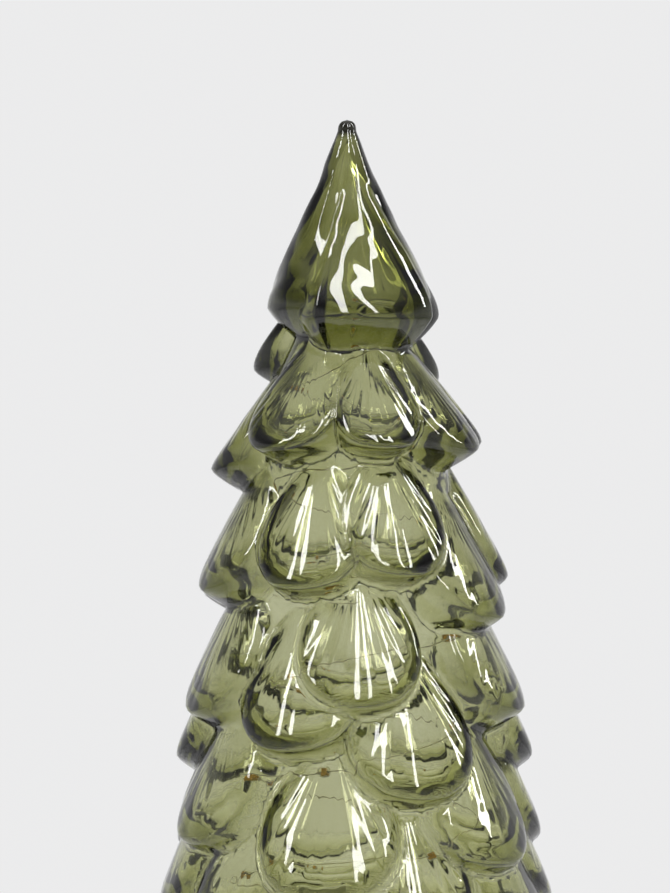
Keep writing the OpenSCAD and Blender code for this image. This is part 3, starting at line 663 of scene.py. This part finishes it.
# The seal is a ring of clear silicone that bonds the glass foot to the base.
# It is laid wet under the glass and cures to a satin, slightly cloudy bead.
def finished(
        name, colour, second, roughness, metallic=0, grain=900, depth=0.02, stretch=(1, 1, 1), spread=0.12):
    """A finish of two tones in a fine grain that also varies the gloss and the surface."""
    look = bpy.data.materials.new(name)
    look.use_nodes = True
    tree = look.node_tree
    skin = tree.nodes["Principled BSDF"]
    where = tree.nodes.new("ShaderNodeTexCoord")
    drawn = tree.nodes.new("ShaderNodeMapping")
    grains = tree.nodes.new("ShaderNodeTexNoise")
    tone = tree.nodes.new("ShaderNodeMix")
    tone.data_type = "RGBA"
    gloss = tree.nodes.new("ShaderNodeMapRange")
    bump = tree.nodes.new("ShaderNodeBump")
    preset(skin, {"Metallic": metallic})
    preset(drawn, {"Scale": stretch})
    preset(grains, {"Scale": grain, "Detail": 4})
    preset(tone, {"A": (*colour, 1), "B": (*second, 1)})
    preset(gloss, {"To Min": roughness - spread, "To Max": roughness + spread})
    preset(bump, {"Strength": 0.4, "Distance": depth * MM})
    wired(
        tree,
        (where.outputs["Object"], drawn.inputs["Vector"]),
        (drawn.outputs[0], grains.inputs["Vector"]),
        (grains.outputs[0], tone.inputs[0]),
        (grains.outputs[0], gloss.inputs["Value"]),
        (grains.outputs[0], bump.inputs["Height"]),
        (tone.outputs["Result"], skin.inputs["Base Color"]),
        (gloss.outputs[0], skin.inputs["Roughness"]),
        (bump.outputs[0], skin.inputs["Normal"]))
    return look


def dressed(look, *nodes):
    """Gives the solid pieces a finish in place of their plain colour."""
    for node in nodes:
        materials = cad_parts[node].data.materials
        materials.clear()
        materials.append(look)


silicone = finished("cured_silicone", (0.8, 0.82, 0.79), (0.7, 0.73, 0.7), 0.35, grain=260, depth=0.05)
preset(silicone.node_tree.nodes["Principled BSDF"], {"Transmission Weight": 0.35})
dressed(silicone, "seal_ring")


# The base housing, its cover and the battery door are injection moulded in one off-white plastic.
# The mould is spark eroded, which leaves a fine matt grain on every face that shows.
white_plastic = finished(
    "matt_white_plastic", (0.8, 0.79, 0.75), (0.74, 0.73, 0.69), 0.5, grain=1600, depth=0.04)
dressed(white_plastic, "base_housing", "base_cover", "battery_door")


# Four screws hold the cover on the housing's bosses, and two smaller ones hold the board.
# They are cold headed steel with a dull zinc coat.
zinc = finished(
    "zinc_coat", (0.62, 0.63, 0.65), (0.48, 0.5, 0.54), 0.35, metallic=1, grain=2200, depth=0.01)
dressed(zinc, "cover_screws", "board_screws")


# Four moulded rubber feet are glued into pockets in the floor of the base.
# The grommet in the cover is of the same rubber, and keeps the light wire off the edge of its hole.
rubber = finished("dark_rubber", (0.045, 0.045, 0.045), (0.07, 0.07, 0.068), 0.75, grain=1400, depth=0.05)
dressed(rubber, "rubber_feet", "wire_grommet")


# Three cells lie head to tail in the bay. Each is a steel can with a plain shrunk plastic sleeve,
# which turns in over the can's shoulders and leaves the button and the flat end bare.
sleeve = finished(
    "cell_sleeve", (0.09, 0.14, 0.2), (0.07, 0.11, 0.17), 0.3, grain=500, depth=0.01, stretch=(0.2, 3, 3))
can_steel = finished(
    "can_steel", (0.66, 0.66, 0.65), (0.55, 0.55, 0.54), 0.3, metallic=1, grain=1500, depth=0.01)
# A cell's outline as (distance from its head, radius), and which stretches of it the sleeve covers.
CELL_PROFILE = [
    (0, 0), (0, 1.6), (0.2, 1.9), (0.85, 1.9), (1.1, 2.2), (1.15, 4.2), (1.0, 4.9), (1.2, 5.2), (1.6, 5.25),
    (43.4, 5.25), (44.0, 5.1), (44.2, 4.6), (44.2, 3.6), (44.5, 3.3), (44.5, 0)]
CELL_SLEEVE = range(7, 11)
CELL_SIDES = 48
CELL_CREASE = math.radians(40)


def lathed(name, profile, sides, looks, look_of):
    """A turned piece about the X axis from (x, radius) points that start and end on the axis."""
    verts, faces, marks = [(profile[0][0], 0, 0)], [], []
    for x, r in profile[1:-1]:
        for k in range(sides):
            a = 2 * math.pi * k / sides
            verts.append((x, r * math.cos(a), r * math.sin(a)))
    verts.append((profile[-1][0], 0, 0))
    rings = len(profile) - 2
    for k in range(sides):
        following = (k + 1) % sides
        faces.append((0, 1 + k, 1 + following))
        marks.append(look_of(0))
        for ring in range(rings - 1):
            low, high = 1 + ring * sides, 1 + (ring + 1) * sides
            faces.append((low + k, high + k, high + following, low + following))
            marks.append(look_of(ring + 1))
        low = 1 + (rings - 1) * sides
        faces.append((low + k, len(verts) - 1, low + following))
        marks.append(look_of(rings))
    mesh = bpy.data.meshes.new(name)
    mesh.from_pydata(verts, [], faces)
    for look in looks:
        mesh.materials.append(look)
    mesh.polygons.foreach_set("material_index", marks)
    mesh.polygons.foreach_set("use_smooth", [True] * len(faces))
    mesh.set_sharp_from_angle(angle=CELL_CREASE)
    return mesh


def cell_look(stretch):
    """Sleeve or bare steel, for a stretch of the outline."""
    return 0 if stretch in CELL_SLEEVE else 1


for spot in ("front", "middle", "rear"):
    low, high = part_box("battery_" + spot)
    head_left = spot == "middle"
    centre = (low + high) / 2
    mesh = lathed("cell_" + spot, CELL_PROFILE, CELL_SIDES, (sleeve, can_steel), cell_look)
    mesh.transform(Matrix.Scale(MM, 4))
    mesh.transform(Matrix.Rotation(0 if head_left else math.pi, 4, "Z"))
    mesh.transform(Matrix.Translation((low.x if head_left else high.x, centre.y, centre.z)))
    cell = bpy.data.objects.new("cell_" + spot, mesh)
    scene.collection.objects.link(cell)
    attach(cell, "tree")
    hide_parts("battery_" + spot)


# The contacts are stamped from thin brass sheet, and link the cells in series.
# Their two upright tabs go through the roof of the bay, where the leads are soldered on.
brass = finished(
    "stamped_brass", (0.72, 0.56, 0.26), (0.6, 0.44, 0.18), 0.32,
    metallic=1, grain=1200, depth=0.01, stretch=(1, 1, 0.1))
dressed(brass, "contact_positive", "contact_negative", "contact_link_left", "contact_link_right")


# A conical spring of nickel-plated wire on each negative contact presses its cell home.
# It is wound in one piece from the wide end, which is soldered to the contact sheet.
SPRING_LENGTH = 4.4
SPRING_WIRE = 0.3
SPRING_TURNS = 3
SPRING_WIDE = 3.65
SPRING_NARROW = 2.65
SPRING_STEPS = 96
nickel = finished(
    "nickel_plate", (0.7, 0.69, 0.65), (0.58, 0.57, 0.53), 0.25, metallic=1, grain=1800, depth=0.01)


def wire_tree(name, strands):
    """A tree that lays round strands along a start mesh's lines, twisted about each other."""
    tree, ins, outs = node_tree(
        name, ("Path", "Geometry", None), ("Strand Radius", "Float", 0.0003),
        ("Strand Offset", "Float", 0.0), ("Twist", "Float", 0.0), ("Sides", "Int", 12),
        ("Smoothing", "Int", 3), ("Finish", "Material", None))
    new = tree.nodes.new
    line = new("GeometryNodeMeshToCurve")
    curved = new("GeometryNodeCurveSplineType")
    curved.spline_type = "CATMULL_ROM"
    refined = new("GeometryNodeSetSplineResolution")
    length_here = new("GeometryNodeSplineParameter")
    tilt = new("ShaderNodeMath")
    tilt.operation = "MULTIPLY"
    tilted = new("GeometryNodeSetCurveTilt")
    section = new("GeometryNodeJoinGeometry")
    wired(
        tree,
        (ins.outputs["Path"], line.inputs["Mesh"]),
        (line.outputs[0], curved.inputs["Curve"]),
        (curved.outputs[0], refined.inputs["Geometry"]),
        (ins.outputs["Smoothing"], refined.inputs["Resolution"]),
        (length_here.outputs["Length"], tilt.inputs[0]),
        (ins.outputs["Twist"], tilt.inputs[1]),
        (refined.outputs[0], tilted.inputs["Curve"]),
        (tilt.outputs[0], tilted.inputs["Tilt"]))
    for strand in range(strands):
        ring = new("GeometryNodeCurvePrimitiveCircle")
        apart = new("ShaderNodeCombineXYZ")
        moved = new("GeometryNodeTransform")
        placed = new("GeometryNodeTransform")
        preset(placed, {"Rotation": (0, 0, 2 * math.pi * strand / strands)})
        wired(
            tree,
            (ins.outputs["Sides"], ring.inputs["Resolution"]),
            (ins.outputs["Strand Radius"], ring.inputs["Radius"]),
            (ins.outputs["Strand Offset"], apart.inputs["X"]),
            (ring.outputs[0], moved.inputs["Geometry"]),
            (apart.outputs[0], moved.inputs["Translation"]),
            (moved.outputs[0], placed.inputs["Geometry"]),
            (placed.outputs[0], section.inputs[0]))
    swept = new("GeometryNodeCurveToMesh")
    preset(swept, {"Fill Caps": True})
    coated = chained(tree, swept.outputs[0], "SetShadeSmooth", "RealizeInstances", "SetMaterial")
    wired(
        tree,
        (tilted.outputs[0], swept.inputs["Curve"]),
        (section.outputs[0], swept.inputs["Profile Curve"]),
        (ins.outputs["Finish"], coated.inputs["Material"]),
        (coated.outputs[0], outs.inputs["Mesh"]))
    return tree


def lines_mesh(name, *paths):
    """A start mesh with one open line of edges for each path, in millimetres."""
    verts, edges = [], []
    for path in paths:
        first = len(verts)
        verts += [Vector(point) * MM for point in path]
        edges += [(i, i + 1) for i in range(first, len(verts) - 1)]
    mesh = bpy.data.meshes.new(name)
    mesh.from_pydata(verts, edges, [])
    return mesh


def spring_path(seat, way):
    """Points of one spring from its contact sheet towards its cell."""
    flat = 2 * SPRING_WIRE
    points = [(0, SPRING_WIDE, 0)]
    for i in range(SPRING_STEPS + 1):
        s = i / SPRING_STEPS
        a = 2 * math.pi * SPRING_TURNS * s
        r = SPRING_WIDE + (SPRING_NARROW - SPRING_WIDE) * s
        points.append((flat + (SPRING_LENGTH - 2 * flat) * s, r * math.cos(a), r * math.sin(a)))
    points.append((SPRING_LENGTH, SPRING_NARROW, 0))
    return [(seat[0] + way * x, seat[1] + way * y, seat[2] + z) for x, y, z in points]


single_wire = wire_tree("single_wire", 1)
spring_paths = []
for spot, way in (("front", 1), ("middle", -1), ("rear", 1)):
    low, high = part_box("battery_" + spot)
    sheet_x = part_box("contact_link_left")[1].x if way > 0 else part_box("contact_link_right")[0].x
    seat = (1000 * sheet_x, 500 * (low.y + high.y), 500 * (low.z + high.z))
    spring_paths.append(spring_path(seat, way))
springs = grown(
    "wound_springs", lines_mesh("spring_lines", *spring_paths), single_wire,
    **{"Strand Radius": SPRING_WIRE * MM, "Sides": 10, "Smoothing": 1, "Finish": nickel})
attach(springs, "tree")
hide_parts("contact_springs")


# The timer board is a small glass-fibre laminate with green solder mask over its copper tracks.
# It is screwed to two posts and carries the switch below and the timer parts on top.
TRACK_GRID = {
    "Scale": 90, "Mortar Size": 0.05,
    "Color1": (0, 0, 0, 1), "Color2": (0, 0, 0, 1), "Mortar": (1, 1, 1, 1)}
TRACK_GREEN = (0.06, 0.32, 0.14, 1)
laminate = finished("solder_mask", (0.03, 0.2, 0.09), (0.02, 0.15, 0.06), 0.35, grain=900, depth=0.01)
mask = laminate.node_tree
mask_skin = mask.nodes["Principled BSDF"]
track_place = mask.nodes.new("ShaderNodeTexCoord")
tracks = mask.nodes.new("ShaderNodeTexBrick")
track_tone = mask.nodes.new("ShaderNodeMix")
track_tone.data_type = "RGBA"
preset(tracks, TRACK_GRID)
preset(track_tone, {"B": TRACK_GREEN})
wired(
    mask,
    (track_place.outputs["Object"], tracks.inputs["Vector"]),
    (tracks.outputs["Color"], track_tone.inputs[0]),
    (mask_skin.inputs["Base Color"].links[0].from_socket, track_tone.inputs["A"]),
    (track_tone.outputs["Result"], mask_skin.inputs["Base Color"]))
dressed(laminate, "circuit_board")


# The chip is bonded to the board and sealed under a drop of black resin, beside three small resistors.
# The crystal that keeps the timer's hours is a little steel can.
resin = finished("black_resin", (0.012, 0.012, 0.013), (0.02, 0.02, 0.02), 0.22, grain=500, depth=0.02)
dressed(resin, "timer_chip", "resistors")
dressed(nickel, "timer_crystal", "switch_case")


# The switch knob is black nylon and comes down through a slot in the floor of the base.
# Its finger end has moulded grip grooves.
nylon = finished("black_nylon", (0.02, 0.02, 0.021), (0.035, 0.035, 0.036), 0.55, grain=1500, depth=0.03)
dressed(nylon, "switch_knob")


# Two thin leads run from the end contacts over the roof of the bay to the board.
# They are stranded copper in a glossy red and a glossy black sleeve, soldered at both ends.
LEAD_RADIUS = 0.6
LEAD_CLEARANCE = 0.3
LEAD_PAD_INSET = 3
BOARD_LOW, BOARD_HIGH = [1000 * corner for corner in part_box("circuit_board")]
BAY_TOP = 17.4
BAY_HALF_LENGTH = 1000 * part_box("contact_positive")[1].x
CONTACT_SHEET = 0.4
CELL_PITCH = 1000 * (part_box("battery_rear")[0].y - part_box("battery_middle")[0].y)
BAY_HALF_WIDTH = 16.55
lead_z = BAY_TOP + LEAD_RADIUS + LEAD_CLEARANCE
lead_pad_y = BOARD_LOW.y + LEAD_PAD_INSET
for name, node, side, tones, slot in (
        ("lead_red", "lead_positive", 1,
         ((0.5, 0.02, 0.02), (0.42, 0.015, 0.015)), "red_sleeve"),
        ("lead_black", "lead_negative", -1,
         ((0.015, 0.015, 0.016), (0.025, 0.025, 0.025)), "black_sleeve")):
    route = [
        (side * (BAY_HALF_LENGTH - CONTACT_SHEET - 0.1), -side * CELL_PITCH, lead_z),
        (side * (BAY_HALF_LENGTH - 3), -side * CELL_PITCH, lead_z),
        (side * 19, -side * 9.5, lead_z),
        (side * 16, -side * 6, lead_z),
        (side * 12, 4 if side > 0 else 8, lead_z),
        (side * 10, 10 if side > 0 else 12, lead_z),
        (side * 9, BAY_HALF_WIDTH, lead_z),
        (side * 8.4, BAY_HALF_WIDTH + 2.2, lead_z - 0.3),
        (side * 8.1, lead_pad_y - 0.9, lead_z - 1.4),
        (side * 8, lead_pad_y, lead_z - 3.4),
        (side * 8, lead_pad_y, BOARD_HIGH.z)]
    sleeved = finished(slot, *tones, 0.3, grain=700, depth=0.01)
    lead = grown(
        name, lines_mesh(name + "_line", route), single_wire,
        **{"Strand Radius": LEAD_RADIUS * MM, "Sides": 16, "Smoothing": 10, "Finish": sleeved})
    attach(lead, "tree")
    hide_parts(node)


# The light string is two lacquered copper strands, laid side by side and twisted a little.
# It rises from the board through the grommet and stands in a loose coil that narrows with the tree.
COIL_TURNS = 7
COIL_STEPS = 48
COIL_SWAY = 1.2
COIL_SWAY_RATES = (2.3, 1.7)
COIL_SWAY_START = 8
COIL_EASE = 3
COIL_GAP = 4
COIL_WALL = 2.2
COIL_LIFT = 8
COIL_TOP_DROP = 52
WIRE_PAD_SHARE = 3
WIRE_PAD_SHIFT = 2
WIRE_BEND = 4
WIRE_BEND_STEP = 15
STRAND_RADIUS = 0.1
TWIST_PITCH = 12
board_middle = (BOARD_LOW + BOARD_HIGH) / 2
pad = Vector(((BOARD_HIGH.x - BOARD_LOW.x) / WIRE_PAD_SHARE, board_middle.y + WIRE_PAD_SHIFT, 0))
pad_turn = math.atan2(pad.y, pad.x)
coil_z = 1000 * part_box("base_cover")[1].z + COIL_LIFT
coil_end_z = TREE_MM - COIL_TOP_DROP
coil_start_radius = math.hypot(pad.length, WIRE_BEND)
coil_start_turn = pad_turn + math.atan(WIRE_BEND / pad.length)


def coil_point(s):
    """Where the wire is at a share of the coil's length."""
    turn = 2 * math.pi * COIL_TURNS * s
    sway_z, sway_r = [COIL_SWAY * math.sin(rate * turn) for rate in COIL_SWAY_RATES]
    z = coil_z + (coil_end_z - coil_z) * s + sway_z * min(1, COIL_SWAY_START * s)
    room = trunk_radius(z) - COIL_WALL - COIL_GAP + sway_r
    ease = min(1, COIL_EASE * s)
    r = coil_start_radius + (room - coil_start_radius) * ease * ease * (3 - 2 * ease)
    a = coil_start_turn + turn
    return r * math.cos(a), r * math.sin(a), z


rise_line = [(pad.x, pad.y, BOARD_HIGH.z), (pad.x, pad.y, (BOARD_HIGH.z + coil_z) / 2)]
bend_start = Vector((pad.x, pad.y, coil_z - WIRE_BEND))
bend_way = Vector((-math.sin(pad_turn), math.cos(pad_turn), 0))
for degrees in range(0, 90, WIRE_BEND_STEP):
    t = math.radians(degrees)
    rise_line.append(bend_start + WIRE_BEND * ((1 - math.cos(t)) * bend_way + Vector((0, 0, math.sin(t)))))
coil_line = [coil_point(i / (COIL_TURNS * COIL_STEPS)) for i in range(COIL_TURNS * COIL_STEPS + 1)]
copper = finished(
    "lacquered_copper", (0.74, 0.7, 0.6), (0.66, 0.6, 0.48), 0.35, metallic=0.4, grain=600, depth=0.01)
light_wire = grown(
    "light_wire", lines_mesh("light_wire_line", rise_line + coil_line), wire_tree("twin_wire", 2),
    **{"Strand Radius": STRAND_RADIUS * MM, "Strand Offset": STRAND_RADIUS * MM,
       "Twist": 2 * math.pi / (TWIST_PITCH * MM), "Sides": 8, "Smoothing": 2, "Finish": copper})
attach(light_wire, "tree")
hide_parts("led_wire")


# Twenty small lights sit at even lengths along the wire.
# Each is a tiny yellow chip soldered across the two strands and sealed in a drop of clear resin.
BEAD_COUNT = 20
BEAD_RADIUS = 1.2
BEAD_LENGTH = 1.7
CHIP = (0.9, 0.5, 1.3)
clear_resin = finished(
    "clear_resin", (1, 0.97, 0.9), (0.96, 0.93, 0.86), 0.06, grain=300, depth=0.02, spread=0.03)
preset(clear_resin.node_tree.nodes["Principled BSDF"], {"Transmission Weight": 1})
chip_look = finished("yellow_chip", (0.85, 0.5, 0.08), (0.75, 0.4, 0.05), 0.5, grain=1500, depth=0.02)
bead_tree, bead_in, bead_out = node_tree(
    "bead_lights", ("Path", "Geometry", None), ("Count", "Int", BEAD_COUNT), ("Drop", "Vector", None),
    ("Chip", "Vector", None), ("Resin", "Material", None), ("Phosphor", "Material", None))
new = bead_tree.nodes.new
line = new("GeometryNodeMeshToCurve")
spots = new("GeometryNodeCurveToPoints")
more = Gauge(bead_tree, bead_in.outputs["Count"]) + 1
place_index = new("GeometryNodeInputIndex")
is_first = new("FunctionNodeCompare")
is_first.data_type = "INT"
is_first.operation = "EQUAL"
without = new("GeometryNodeDeleteGeometry")
wired(
    bead_tree,
    (bead_in.outputs["Path"], line.inputs["Mesh"]),
    (line.outputs[0], spots.inputs["Curve"]),
    (more.socket, spots.inputs["Count"]),
    (place_index.outputs[0], is_first.inputs[2]),
    (spots.outputs["Points"], without.inputs["Geometry"]),
    (is_first.outputs[0], without.inputs["Selection"]))
drop = new("GeometryNodeMeshUVSphere")
preset(drop, {"Segments": 24, "Rings": 16, "Radius": 1})
chip = new("GeometryNodeMeshCube")
both = new("GeometryNodeJoinGeometry")
for shape, size, look in ((drop, "Drop", "Resin"), (chip, "Chip", "Phosphor")):
    sized = chained(bead_tree, shape.outputs["Mesh"], "Transform")
    coated = chained(bead_tree, sized.outputs[0], "SetMaterial")
    smooth = chained(bead_tree, coated.outputs[0], "SetShadeSmooth")
    preset(smooth, {"Shade Smooth": shape == drop})
    wired(
        bead_tree,
        (bead_in.outputs[size], sized.inputs["Scale"]),
        (bead_in.outputs[look], coated.inputs["Material"]),
        (smooth.outputs[0], both.inputs[0]))
strung = new("GeometryNodeInstanceOnPoints")
real = chained(bead_tree, strung.outputs[0], "RealizeInstances")
wired(
    bead_tree,
    (without.outputs[0], strung.inputs["Points"]),
    (both.outputs[0], strung.inputs["Instance"]),
    (spots.outputs["Rotation"], strung.inputs["Rotation"]),
    (real.outputs[0], bead_out.inputs["Mesh"]))
beads = grown(
    "bead_lights", lines_mesh("bead_line", coil_line), bead_tree,
    Count=BEAD_COUNT, Drop=[MM * size for size in (BEAD_RADIUS, BEAD_RADIUS, BEAD_LENGTH)],
    Chip=[MM * size for size in CHIP], Resin=clear_resin, Phosphor=chip_look)
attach(beads, "tree")
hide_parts("led_beads")
